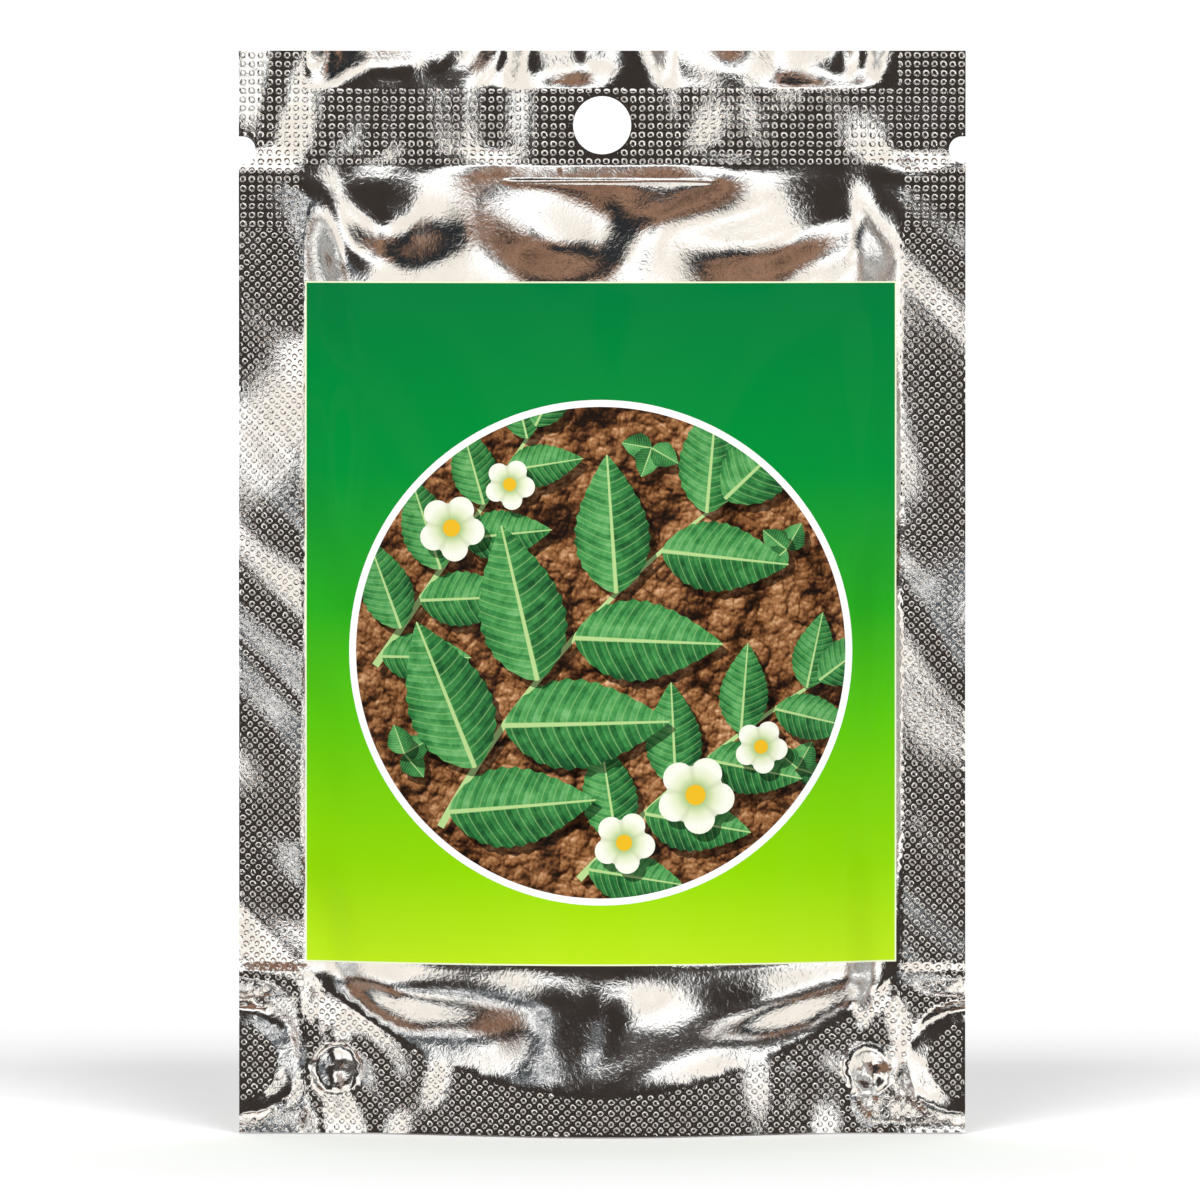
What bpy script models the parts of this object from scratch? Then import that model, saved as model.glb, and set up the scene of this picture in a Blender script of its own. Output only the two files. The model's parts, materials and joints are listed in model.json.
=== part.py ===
"""A foil stand-up pouch of seeds: two foil films and a folded foil bottom, heat sealed round the edge,
with a printed label on the front and loose seeds inside.

It stands on z = 0 with its front towards -Y. A film is laid out flat, u across and v up the pouch,
and is then pushed out along Y by a bulge that is zero in the seals.
"""

import math
import random

import bmesh
import bpy
from mathutils import Matrix, Vector, kdtree, noise
from mathutils.geometry import delaunay_2d_cdt

MM = 0.001

# The flat pouch
WIDTH = 100 * MM
HEIGHT = 149 * MM
FILM = 0.20 * MM
GAP = 0.25 * MM
HALF = WIDTH / 2
SIDE_SEAL = 9 * MM
BODY_HALF = HALF - SIDE_SEAL
TOP_SEAL_LOW = 133 * MM
TOP_SEAL_HIGH = 144 * MM

# The hang hole and the two tear notches
HOLE_RADIUS = 4 * MM
HOLE_HEIGHT = 138.75 * MM
NOTCH_RADIUS = 1.8 * MM
NOTCH_STRAIGHT = 0.5 * MM
NOTCH_HEIGHT = 135.4 * MM

# The bottom: a fold of film between the two sides, sealed to them below an arc
FOLD = 22.6 * MM
ARC_LOW = 5.6 * MM
ARC_RADIUS = (BODY_HALF**2 + (FOLD - ARC_LOW) ** 2) / (2 * (FOLD - ARC_LOW))
STEP_LOW = FOLD + 0.3 * MM
STEP_HIGH = FOLD + 0.9 * MM
FOLD_BEND = 0.2 * MM
GUSSET_LIFT = 0.3 * MM
PRESS_SLOPE = 0.5 * MM
PUNCH_MARGIN = 0.4 * MM

# Where the front and back are pressed together through holes in the fold
CORNER_RADIUS = 8 * MM
CORNER_HEIGHT = 9.8 * MM
SPOT_RADIUS = 3.5 * MM
SPOT_ACROSS = 36.6 * MM
SPOT_HEIGHT = 8.9 * MM

# The bulge
FOOT_DEPTH = 12 * MM
BELLY_DEPTH = 14 * MM
BELLY_HEIGHT = 28 * MM
FOOT_HALF = 32.8 * MM
FOOT_RISE = 13 * MM
TAPER = 2.2
SIDE_ROUND = 1.2
FOOT_ROUND = 1.9
STEP_SPREAD = 8 * MM

# Dents and soft folds in the foil that is free to bulge, and how far they take to fade in
DENT_DEPTH, DENT_SIZE = 1.9 * MM, 15 * MM
CREASE_DEPTH, CREASE_SIZE = 0.6 * MM, 22 * MM
SWIRL, SWIRL_SIZE = 4 * MM, 18 * MM
FADE_TOP = 9 * MM
FADE_ARC = 7 * MM
FADE_SIDE = 7 * MM
FADE_LABEL = 8 * MM
UNDER_LABEL = 2 * MM
FRONT_SEED, BACK_SEED = 3.1, 8.7

# The loose lip above the top seal
LIP_OPEN = 0.5 * MM
LIP_WAVE = 0.35 * MM

# The label
LABEL_HALF = 40.7 * MM
LABEL_SHIFT = -0.2 * MM
LABEL_LOW = 23.6 * MM
LABEL_HIGH = 117.3 * MM
LABEL_THICK = 0.15 * MM

# The seeds
SEED_HALVES = Vector((5.6 * MM, 3.5 * MM, 1.2 * MM))
SEED_PITCH = 13 * MM
SEED_COLUMNS = 5
SEED_ROWS = 2
SEED_LAYERS = 4
SEED_COUNT = 32
SEED_GAP = 0.3 * MM

SPACING = 4.6 * MM
EDGE_SPACING = 3.6 * MM
CIRCLE_STEPS = 28

# How far each film's middle lies from the pouch's middle plane, with two and with four films in the stack
TWO_FILMS = (FILM + GAP) / 2
FOUR_FILMS = 3 * TWO_FILMS
FILM_PITCH = FILM + GAP


def smooth(t):
    t = min(max(t, 0), 1)
    return t * t * (3 - 2 * t)


def arc_height(u):
    """The top of the bottom seal at u: an arc in the body, the fold itself in the side seals."""
    if abs(u) >= BODY_HALF:
        return FOLD - FOLD_BEND
    low = ARC_LOW + ARC_RADIUS - math.sqrt(ARC_RADIUS**2 - u**2)
    return min(low, FOLD - FOLD_BEND)


def above_arc(u, v):
    """How far a point is above the bottom seal, measured towards the arc's centre."""
    centre = ARC_LOW + ARC_RADIUS
    return ARC_RADIUS - math.hypot(u, v - centre) if v < centre else ARC_RADIUS


def foot_share(v):
    """0 near the floor, where the pressed spots hold the corners flat, and 1 above the fold."""
    return smooth((v - FOOT_RISE) / (FOLD - FOOT_RISE))


def depth(v):
    """How far the film stands out at the middle of the pouch."""
    if v < BELLY_HEIGHT:
        rise = math.sin(math.pi / 2 * v / BELLY_HEIGHT)
        return FOOT_DEPTH + (BELLY_DEPTH - FOOT_DEPTH) * rise
    share = (v - BELLY_HEIGHT) / (TOP_SEAL_LOW - BELLY_HEIGHT)
    return BELLY_DEPTH * (1 - min(share, 1) ** TAPER)


def belly(u, v):
    share = foot_share(v)
    half = FOOT_HALF + (BODY_HALF - FOOT_HALF) * share
    roundness = FOOT_ROUND + (SIDE_ROUND - FOOT_ROUND) * share
    across = 1 - (u / half) ** 2
    return depth(v) * across**roundness if across > 0 else 0


def soft_noise(u, v, size, seed):
    """Smooth noise from -1 to 1, with features about this size."""
    return noise.noise(Vector((u / size, v / size, seed)))


def dents(u, v, seed):
    """Dents and soft folds, none in the seals and none under the label. The seed tells the films apart."""
    share = smooth((TOP_SEAL_LOW - v) / FADE_TOP) * smooth(above_arc(u, v) / FADE_ARC)
    share *= smooth((BODY_HALF - abs(u)) / FADE_SIDE)
    if seed == FRONT_SEED:
        beside_label = max(v - LABEL_HIGH, LABEL_LOW - v)
        share *= smooth((beside_label + UNDER_LABEL) / FADE_LABEL)
    swirl_u = u + SWIRL * soft_noise(u, v, SWIRL_SIZE, seed)
    swirl_v = v + SWIRL * soft_noise(u, v, SWIRL_SIZE, seed + 1)
    dent = DENT_DEPTH * soft_noise(swirl_u, swirl_v, DENT_SIZE, seed + 2)
    crease = CREASE_DEPTH * abs(soft_noise(swirl_u, swirl_v, CREASE_SIZE, seed + 3))
    return share * (dent + crease)


def lip(u, v):
    """The two films part a little above the top seal, between the side seals."""
    if v <= TOP_SEAL_HIGH or abs(u) >= BODY_HALF:
        return 0
    up = (v - TOP_SEAL_HIGH) / (HEIGHT - TOP_SEAL_HIGH)
    wave = LIP_OPEN + LIP_WAVE * math.sin(u / (5 * MM) + math.sin(u / (13 * MM)))
    return up * wave * smooth((BODY_HALF - abs(u)) / (6 * MM))


def pressed(u, v):
    """1 inside the corner rounds and the spots, 0 outside them, with a short slope between."""
    corner = CORNER_RADIUS - math.hypot(abs(u) - HALF, v - CORNER_HEIGHT)
    spot = SPOT_RADIUS - math.hypot(abs(u) - SPOT_ACROSS, v - SPOT_HEIGHT)
    return min(max(corner / PRESS_SLOPE, spot / PRESS_SLOPE, 0), 1)


def seal_plane(u, v):
    """The film's middle where it is sealed: further out where the fold's two layers lie between the films."""
    middle = (STEP_LOW + STEP_HIGH) / 2
    inner = smooth((BODY_HALF - abs(u)) / STEP_SPREAD)
    half = (STEP_HIGH - STEP_LOW) / 2 + STEP_SPREAD * inner
    four = min(max((middle + half - v) / (2 * half), 0), 1) * (1 - pressed(u, v))
    return TWO_FILMS + (FOUR_FILMS - TWO_FILMS) * four


def film_out(u, v, seed=FRONT_SEED):
    """How far the middle of a side film lies from the pouch's middle plane."""
    return seal_plane(u, v) + max(belly(u, v) + dents(u, v, seed), 0) + lip(u, v)


def gusset_place(u, v):
    """The front half of the fold: sealed to the front film up to the arc, then leaning in to the crest."""
    top = arc_height(u)
    out = max(film_out(u, min(v, top)) - FILM_PITCH, TWO_FILMS)
    if v <= top:
        return Vector((u, -out, v))
    length = FOLD - top
    rise = math.sqrt(max(length**2 - out**2, FOLD_BEND**2))
    share = (v - top) / length
    return Vector((u, -out * (1 - share), top + rise * share))


def stations(start, end, stops=(), step=EDGE_SPACING):
    """Values from start to end that include every stop between them and are at most a step apart."""
    low, high = sorted((start, end))
    inner = sorted(s for s in stops if low < s < high)
    marks = [low, *inner, high]
    values = [low]
    for a, b in zip(marks, marks[1:]):
        count = max(1, math.ceil((b - a) / step - 1e-6))
        values += [a + (b - a) * n / count for n in range(1, count + 1)]
    return values if start < end else values[::-1]


def round_run(centre, radius, start, end, count):
    """Points along a circle, from one angle to another in degrees."""
    angles = [math.radians(start + (end - start) * n / count) for n in range(count + 1)]
    return [(centre[0] + radius * math.cos(a), centre[1] + radius * math.sin(a)) for a in angles]


def ring(centre, radius, count=CIRCLE_STEPS):
    return round_run(centre, radius, 0, 360, count)


def side_edge(low):
    """The right-hand edge of a film, going up, with its tear notch."""
    cuts = [CORNER_HEIGHT + s * r for s in (-1, 1) for r in (CORNER_RADIUS, CORNER_RADIUS - PRESS_SLOPE)]
    below = stations(low, NOTCH_HEIGHT - NOTCH_RADIUS, [*cuts, STEP_LOW, STEP_HIGH, TOP_SEAL_LOW])
    above = stations(NOTCH_HEIGHT + NOTCH_RADIUS, HEIGHT, [TOP_SEAL_HIGH])
    notch = round_run((HALF - NOTCH_STRAIGHT, NOTCH_HEIGHT), NOTCH_RADIUS, 270, 90, 10)
    return [(HALF, v) for v in below] + notch + [(HALF, v) for v in above]


def film_outline():
    right = side_edge(0)
    bottom = [(u, 0) for u in stations(-HALF, HALF, [-BODY_HALF, BODY_HALF])]
    top = [(u, HEIGHT) for u in stations(HALF, -HALF, [-BODY_HALF, BODY_HALF])]
    left = [(-u, v) for u, v in reversed(right)]
    return bottom[:-1] + right + top[1:-1] + left[:-1]


def seal_lines():
    """The lines of a side film where a seal ends or a pressed place begins."""
    lines = []
    for v in (TOP_SEAL_LOW, TOP_SEAL_HIGH):
        lines.append([(u, v) for u in stations(-BODY_HALF, BODY_HALF)])
    lines.append(arc_line())
    for side in (-1, 1):
        heights = stations(0, HEIGHT, [FOLD, STEP_LOW, STEP_HIGH, TOP_SEAL_LOW, TOP_SEAL_HIGH])
        lines.append([(side * BODY_HALF, v) for v in heights])
        for v in (STEP_LOW, STEP_HIGH):
            lines.append([(side * BODY_HALF, v), (side * HALF, v)])
        for inset in (0, PRESS_SLOPE):
            middle = 0 if side < 0 else 180
            corner = (side * HALF, CORNER_HEIGHT)
            lines.append(round_run(corner, CORNER_RADIUS - inset, middle - 90, middle + 90, 14))
            lines.append(ring((side * SPOT_ACROSS, SPOT_HEIGHT), SPOT_RADIUS - inset, 18))
    return lines


def lattice(width, low, high, spacing):
    """Points in staggered rows that fill a rectangle."""
    rows = math.ceil((high - low) / (spacing * 0.87))
    points = []
    for row in range(1, rows):
        v = low + (high - low) * row / rows
        count = math.ceil(2 * width / spacing)
        shift = 0.25 if row % 2 else -0.25
        points += [(width * (2 * (n + shift) / count - 1), v) for n in range(1, count)]
    return points


def flat_pattern(outline, lines, inner, holes=(), spacing=SPACING):
    """(points, triangles) of a flat sheet with these lines as edges, and with round holes cut in it."""
    points, edges = list(outline), [(n, (n + 1) % len(outline)) for n in range(len(outline))]
    for line in [*lines, *(ring(centre, radius) for centre, radius in holes)]:
        first = len(points)
        points += line
        edges += [(n, n + 1) for n in range(first, len(points) - 1)]
    near = kdtree.KDTree(len(edges) * 3)
    for a, b in edges:
        for share in (0, 1 / 3, 2 / 3):
            spot = Vector((*points[a], 0)).lerp(Vector((*points[b], 0)), share)
            near.insert(spot, 0)
    near.balance()
    points += [p for p in inner if near.find((*p, 0))[2] > 0.6 * spacing]
    flat, _, faces, *_ = delaunay_2d_cdt([Vector(p) for p in points], edges, [], 1, 1e-6)
    for centre, radius in holes:
        faces = [f for f in faces if math.dist(middle_of(flat, f), centre) > radius]
    return flat, faces


def middle_of(flat, face):
    return sum((flat[n] for n in face), Vector((0, 0))) / len(face)


def new_object(name, mesh, material):
    obj = bpy.data.objects.new(name, mesh)
    bpy.context.scene.collection.objects.link(obj)
    mesh.materials.append(material)
    return obj


def sheet_mesh(name, pattern, place, thickness):
    """A sheet cut to the flat pattern, given its thickness along Y and then moved point by point."""
    bm = bmesh.new()
    flat, faces = pattern
    used = {n for f in faces for n in f}
    verts = {n: bm.verts.new((flat[n].x, -thickness / 2, flat[n].y)) for n in sorted(used)}
    for f in faces:
        bm.faces.new([verts[n] for n in f])
    made = bmesh.ops.extrude_face_region(bm, geom=bm.faces[:], use_keep_orig=True)
    for vert in (g for g in made["geom"] if isinstance(g, bmesh.types.BMVert)):
        vert.co.y += thickness
    for vert in bm.verts:
        vert.co = place(vert.co)
    bmesh.ops.recalc_face_normals(bm, faces=bm.faces[:])
    mesh = bpy.data.meshes.new(name)
    bm.to_mesh(mesh)
    bm.free()
    mesh.shade_smooth()
    mesh.set_sharp_from_angle(angle=math.radians(40))
    return mesh


def add_side_film(name, side, seed, foil):
    """The front film for side -1, or the back film for side 1."""
    hang_hole = ((0, HOLE_HEIGHT), HOLE_RADIUS)
    pattern = flat_pattern(film_outline(), seal_lines(), lattice(HALF, 0, HEIGHT, SPACING), [hang_hole])

    def place(co):
        return Vector((co.x, co.y + side * film_out(co.x, co.z, seed), co.z))

    new_object(name, sheet_mesh(name, pattern, place, FILM), foil)


def gusset_outline():
    """The front half of the fold's flat shape: punched away where the films are pressed together."""
    cut = CORNER_RADIUS + PUNCH_MARGIN
    low = GUSSET_LIFT
    punch = round_run((HALF, CORNER_HEIGHT), cut, 270, 90, 14)
    above = stations(CORNER_HEIGHT + cut, FOLD, [FOLD - FOLD_BEND])
    right = [(HALF, low)] + punch + [(HALF, v) for v in above[1:]]
    bottom = [(u, low) for u in stations(-HALF, HALF, [-BODY_HALF, BODY_HALF])]
    top = [(u, FOLD) for u in stations(HALF, -HALF, [-BODY_HALF, BODY_HALF])]
    left = [(-u, v) for u, v in reversed(right)]
    return bottom[1:-1] + right + top[1:-1] + left


def arc_line():
    """The top of the bottom seal, from one side seal to the other."""
    half_angle = math.degrees(math.asin(BODY_HALF / ARC_RADIUS))
    return round_run((0, ARC_LOW + ARC_RADIUS), ARC_RADIUS, 270 - half_angle, 270 + half_angle, 26)


def gusset_lines():
    high = FOLD - FOLD_BEND
    left = [(u, high) for u in stations(-HALF, -BODY_HALF)]
    right = [(u, high) for u in stations(BODY_HALF, HALF)]
    top_of_seal = left[:-1] + [(u, min(v, high)) for u, v in arc_line()] + right[1:]
    sides = [[(side * BODY_HALF, v) for v in stations(GUSSET_LIFT, high)] for side in (-1, 1)]
    return [top_of_seal, *sides]


def add_gusset(foil):
    """The folded film of the bottom. Its front half is mirrored to the back, and the halves meet at the crest."""
    name = "gusset_film"
    inner = [p for p in lattice(HALF, 0, HEIGHT, SPACING) if p[1] < FOLD]
    punches = [((side * SPOT_ACROSS, SPOT_HEIGHT), SPOT_RADIUS + PUNCH_MARGIN) for side in (-1, 1)]
    flat, faces = flat_pattern(gusset_outline(), gusset_lines(), inner, punches)
    bm = bmesh.new()
    used = sorted({n for f in faces for n in f})
    verts = {n: bm.verts.new(gusset_place(*flat[n])) for n in used}
    for f in faces:
        bm.faces.new([verts[n] for n in f])
    for vert in bm.verts:
        if vert.co.z > FOLD - FOLD_BEND / 2 or abs(vert.co.y) < FILM / 100:
            vert.co.y = 0
    bmesh.ops.recalc_face_normals(bm, faces=bm.faces[:])
    mesh = bpy.data.meshes.new(name)
    bm.to_mesh(mesh)
    bm.free()
    mesh.shade_smooth()
    obj = new_object(name, mesh, foil)
    mirror = obj.modifiers.new("back_half", "MIRROR")
    mirror.use_axis = (False, True, False)
    mirror.use_clip = True
    mirror.merge_threshold = 0.01 * MM
    thickness = obj.modifiers.new("film", "SOLIDIFY")
    thickness.thickness = FILM
    thickness.offset = 0


def add_label(paper):
    """The printed label, stuck to the front film."""
    left, right = LABEL_SHIFT - LABEL_HALF, LABEL_SHIFT + LABEL_HALF
    across = stations(left, right, step=SPACING)
    up = stations(LABEL_LOW, LABEL_HIGH, step=SPACING)
    outline = [(u, LABEL_LOW) for u in across[:-1]]
    outline += [(right, v) for v in up[:-1]]
    outline += [(u, LABEL_HIGH) for u in across[:0:-1]]
    outline += [(left, v) for v in up[:0:-1]]
    inner = lattice(HALF, 0, HEIGHT, SPACING)
    inner = [p for p in inner if left < p[0] < right and LABEL_LOW < p[1] < LABEL_HIGH]

    out = FILM / 2 + GAP + LABEL_THICK / 2

    def place(co):
        return Vector((co.x, co.y - film_out(co.x, co.z) - out, co.z))

    mesh = sheet_mesh("label", flat_pattern(outline, [], inner), place, LABEL_THICK)
    new_object("label", mesh, paper)


def seed_mesh():
    """A flat seed, blunt at one end and narrower at the other."""
    bm = bmesh.new()
    bmesh.ops.create_uvsphere(bm, u_segments=12, v_segments=6, radius=1)
    for vert in bm.verts:
        x, y, z = vert.co
        rim = math.hypot(x, y)
        taper = 1 - 0.16 * x - 0.06 * x * x
        flat = z * (1 - 0.25 * rim**2)
        vert.co = (x * SEED_HALVES.x, y * taper * SEED_HALVES.y, flat * SEED_HALVES.z)
    mesh = bpy.data.meshes.new("seed")
    bm.to_mesh(mesh)
    bm.free()
    mesh.shade_smooth()
    return mesh


def slope_frame(u, share):
    """Where a seed can lie on the front slope of the fold: a point and the surface's three directions."""
    top = arc_height(u)
    v = top + (FOLD - top) * share
    reach = 1.5 * MM
    point = gusset_place(u, v)
    across = (gusset_place(u + reach, v) - gusset_place(u - reach, v)).normalized()
    up = (gusset_place(u, v + reach / 4) - gusset_place(u, v - reach / 4)).normalized()
    normal = across.cross(up).normalized()
    if normal.z < 0:
        normal = -normal
    return point, across, normal.cross(across).normalized(), normal


def fits(mesh, matrix):
    """True if the seed stays clear of the front film and the pouch's middle plane, and its turned copy
    of the back film."""
    for vert in mesh.vertices:
        p = matrix @ vert.co
        film = min(film_out(p.x, p.z), film_out(-p.x, p.z, BACK_SEED))
        room = film - FILM / 2 - SEED_GAP
        if not -room < p.y < -SEED_GAP / 2 or p.z < arc_height(p.x):
            return False
    return True


def seed_places(mesh):
    """Rows and layers of seeds that lean on the fold's two slopes, wherever one has room."""
    rng = random.Random(7)
    places = []
    for layer in range(SEED_LAYERS):
        for row in range(SEED_ROWS):
            for column in range(SEED_COLUMNS):
                u = (column - (SEED_COLUMNS - 1) / 2) * SEED_PITCH
                length = FOLD - arc_height(u)
                lift = SEED_HALVES.z + SEED_GAP + layer * (2 * SEED_HALVES.z + SEED_GAP)
                base = 5.2 * MM + layer * 2.9 * MM + row * (2 * SEED_HALVES.y + 1.2 * MM)
                point, across, up, normal = slope_frame(u, min(base / length, 0.9))
                point = point + up * max(base - 0.9 * length, 0)
                spin = math.radians(rng.uniform(-6, 6) + rng.choice((0, 180)))
                axes = Matrix((across, up, normal)).transposed().to_4x4()
                matrix = Matrix.Translation(point + normal * lift) @ axes @ Matrix.Rotation(spin, 4, "Z")
                if fits(mesh, matrix):
                    places.append(matrix)
    places = places[: SEED_COUNT // 2]
    back = Matrix.Rotation(math.pi, 4, "Z")
    return places + [back @ matrix for matrix in places]


def add_seeds(coat):
    mesh = seed_mesh()
    mesh.materials.append(coat)
    for n, matrix in enumerate(seed_places(mesh)):
        obj = bpy.data.objects.new(f"seed_{n + 1:02d}", mesh)
        bpy.context.scene.collection.objects.link(obj)
        obj.matrix_world = matrix


def finish(name, colour, roughness, metallic=0.0):
    material = bpy.data.materials.new(name)
    material.use_nodes = True
    shader = material.node_tree.nodes["Principled BSDF"]
    shader.inputs["Base Color"].default_value = (*colour, 1)
    shader.inputs["Roughness"].default_value = roughness
    shader.inputs["Metallic"].default_value = metallic
    return material


def main():
    for obj in list(bpy.data.objects):
        bpy.data.objects.remove(obj)
    foil = finish("foil", (0.80, 0.79, 0.77), 0.16, metallic=1.0)
    paper = finish("label_paper", (0.05, 0.48, 0.04), 0.3)
    coat = finish("seed_coat", (0.02, 0.018, 0.016), 0.6)
    add_side_film("front_film", -1, FRONT_SEED, foil)
    add_side_film("back_film", 1, BACK_SEED, foil)
    add_gusset(foil)
    add_label(paper)
    add_seeds(coat)


main()
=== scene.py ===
import json
import math

import bmesh
import bpy
import numpy as np
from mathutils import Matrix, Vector, kdtree, noise
from mathutils.geometry import delaunay_2d_cdt

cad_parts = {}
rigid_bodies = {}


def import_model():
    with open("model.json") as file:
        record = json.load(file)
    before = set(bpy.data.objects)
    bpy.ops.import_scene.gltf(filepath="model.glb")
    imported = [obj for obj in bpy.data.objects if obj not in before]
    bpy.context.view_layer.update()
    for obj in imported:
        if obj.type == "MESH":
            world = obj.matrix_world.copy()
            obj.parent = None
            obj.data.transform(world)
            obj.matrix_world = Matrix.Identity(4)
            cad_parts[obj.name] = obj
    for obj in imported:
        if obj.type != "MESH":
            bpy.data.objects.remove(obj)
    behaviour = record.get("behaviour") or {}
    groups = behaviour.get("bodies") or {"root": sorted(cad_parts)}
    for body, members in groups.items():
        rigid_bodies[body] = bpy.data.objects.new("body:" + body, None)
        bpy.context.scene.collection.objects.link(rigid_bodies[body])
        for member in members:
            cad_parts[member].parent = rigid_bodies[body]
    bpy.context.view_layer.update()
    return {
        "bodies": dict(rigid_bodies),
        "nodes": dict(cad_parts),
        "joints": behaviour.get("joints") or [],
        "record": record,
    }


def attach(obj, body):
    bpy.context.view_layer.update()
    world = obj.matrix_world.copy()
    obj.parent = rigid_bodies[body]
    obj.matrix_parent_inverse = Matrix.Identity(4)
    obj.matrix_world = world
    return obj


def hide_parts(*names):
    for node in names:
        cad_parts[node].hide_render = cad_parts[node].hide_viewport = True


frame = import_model()

MM = 0.001

# The flat pouch, as in the CAD model. u runs across it and v runs up it, in millimetres.
HALF = 50.0
HEIGHT = 149.0
BODY_HALF = 41.0
SEAL_LOW, SEAL_HIGH = 133.0, 144.0
CREASE_HEIGHT = 131.0
LIP_LEAN = 0.165
HOLE = (0.0, 138.75)
HOLE_RADIUS = 4.0
NOTCH_HEIGHT, NOTCH_RADIUS, NOTCH_STRAIGHT = 135.4, 1.8, 0.5
FOLD = 22.6
FOLD_LINE = FOLD + 0.4
ARC_LOW = 5.6
ARC_RADIUS = (BODY_HALF**2 + (FOLD - ARC_LOW) ** 2) / (2 * (FOLD - ARC_LOW))
ARC_CENTRE = ARC_LOW + ARC_RADIUS
CORNER_HEIGHT, CORNER_RADIUS, CORNER_RIM = 9.8, 8.0, 2.6
CORNER_TURN = 0.12
CORNER_EDGE, SPOT_EDGE = 0.6, 0.4
SPOT_ACROSS, SPOT_HEIGHT, SPOT_RADIUS = 36.6, 8.9, 3.5
FOOT_DEPTH, BELLY_DEPTH, BELLY_HEIGHT = 12.0, 14.0, 28.0
FOOT_HALF, FOOT_RISE = 32.8, 13.0
TAPER, SIDE_ROUND, FOOT_ROUND = 2.2, 1.2, 1.9

# The real laminate, thinner than the solids, and how far the fold stops short of its punched rounds
FILM = 0.13
TWO_FILMS = 0.10
FOUR_FILMS = 0.32
FOLD_GAP = 0.3
PAPER = 0.10

LABEL_HALF, LABEL_SHIFT = 40.7, -0.2
LABEL_LOW, LABEL_HIGH = 23.6, 117.3
PICTURE_HEIGHT, PICTURE_RADIUS, RING_WIDTH = 66.5, 34.6, 0.95

# How much light the label's paper gives back where it is white
INK = 0.655

# The heat seal's embossed lattice
PITCH, SLANT_PITCH = 1.22, 1.07
SLANT, SLANT_START = 44.0, 60.0
DOT_RADIUS = 0.30
DOT_HEIGHT = 0.09
DOT_DEPTH = 0.042
DOT_FLANK = (0.12, 0.72)
TURN_HEIGHT = 124.6

# The print on the label, from the picture's middle: leafy stems, sprigs and blossoms
STEMS = (
    (((-3.0, -31.0), (13.0, -14.0), (30.0, -4.0)), 15.0),
    (((-31.0, -2.0), (-20.0, 14.0), (-9.0, 31.0)), 14.0),
    (((-22.0, -24.0), (-8.0, 2.0), (17.0, 21.0)), 23.0),
)
STEM_HALF = 0.5
LEAF_STEPS = (0.04, 0.16, 0.28, 0.41, 0.54, 0.68, 0.82, 0.95)
LEAF_ANGLE = 56
SPRIGS = ((25.5, 14.0, 140), (7.0, 28.0, 250), (-27.0, -14.0, 30), (27.0, -16.0, 60))
BLOSSOMS = (
    (13.0, -19.5, 5.4),
    (3.2, -26.0, 4.3),
    (22.0, -13.0, 3.7),
    (-20.5, 17.0, 4.6),
    (-12.5, 23.0, 3.5),
)
SHADOW_SHIFT = (0.9, -1.1)

# How much of the foot's roundness its mirroring follows
FOOT_CALM = 0.25

# Which part of the studio's patches the foil mirrors
ROOM_SHIFT = (1.9, 6.3, 8.2)

# The label's material slots, in their order
GROUND, RING, EDGE, SOIL, SOIL_SHADED, LEAF, PETAL, YELLOW, LEAF_SHADED = range(9)

# How many millimetres of film one unit of the flat uv layer spans
UV_SPAN = 100

# How many clods to a metre, and how high they stand
SOIL_CLODS = ((270.0, 0.38), (700.0, 0.22), (1700.0, 0.10))


def smooth(t):
    t = np.clip(t, 0, 1)
    return t * t * (3 - 2 * t)


def soft_noise(u, v, scale, seed):
    """Smooth noise from -1 to 1, with features about scale millimetres wide."""
    return np.array([noise.noise(Vector((a / scale, b / scale, seed))) for a, b in zip(u, v)])


def arc_height(u):
    """The height of the bottom seal's arc."""
    low = ARC_CENTRE - np.sqrt(np.maximum(ARC_RADIUS**2 - u**2, 0))
    return np.where(np.abs(u) >= BODY_HALF, FOLD, np.minimum(low, FOLD))


def above_arc(u, v):
    """How far a point is above the bottom seal, measured towards the arc's centre."""
    inside = ARC_RADIUS - np.hypot(u, v - ARC_CENTRE)
    return np.where(v < ARC_CENTRE, inside, ARC_RADIUS)


def belly(u, v):
    """How far the filled pouch bulges on either side."""
    risen = smooth((v - FOOT_RISE) / (FOLD - FOOT_RISE))
    free = FOOT_HALF + (BODY_HALF - FOOT_HALF) * risen
    roundness = FOOT_ROUND + (SIDE_ROUND - FOOT_ROUND) * risen
    foot = FOOT_DEPTH + (BELLY_DEPTH - FOOT_DEPTH) * np.sin(math.pi / 2 * np.clip(v / BELLY_HEIGHT, 0, 1))
    share = np.clip((v - BELLY_HEIGHT) / (SEAL_LOW - BELLY_HEIGHT), 0, 1)
    depth = np.where(v < BELLY_HEIGHT, foot, BELLY_DEPTH * (1 - share**TAPER))
    return depth * np.maximum(1 - (u / free) ** 2, 0) ** roundness


def in_corner(u, v):
    """How far a point is inside the half round at its corner of the foot."""
    return CORNER_RADIUS - np.hypot(np.abs(u) - HALF, v - CORNER_HEIGHT)


def in_spot(u, v):
    """How far a point is inside the pressed spot on its side of the foot."""
    return SPOT_RADIUS - np.hypot(np.abs(u) - SPOT_ACROSS, v - SPOT_HEIGHT)


def pressed(u, v):
    """1 where the front and back films meet through the fold, and 0 elsewhere."""
    return np.clip(np.maximum(in_corner(u, v) / CORNER_EDGE, in_spot(u, v) / SPOT_EDGE), 0, 1)


def seal_plane(u, v):
    """How far the sealed films lie from the middle, by how many lie under them."""
    inner = smooth((BODY_HALF - np.abs(u)) / 8)
    half = 0.3 + 8 * inner
    four = np.clip((FOLD_LINE + half - v) / (2 * half), 0, 1) * (1 - pressed(u, v))
    return TWO_FILMS + (FOUR_FILMS - TWO_FILMS) * four


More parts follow.
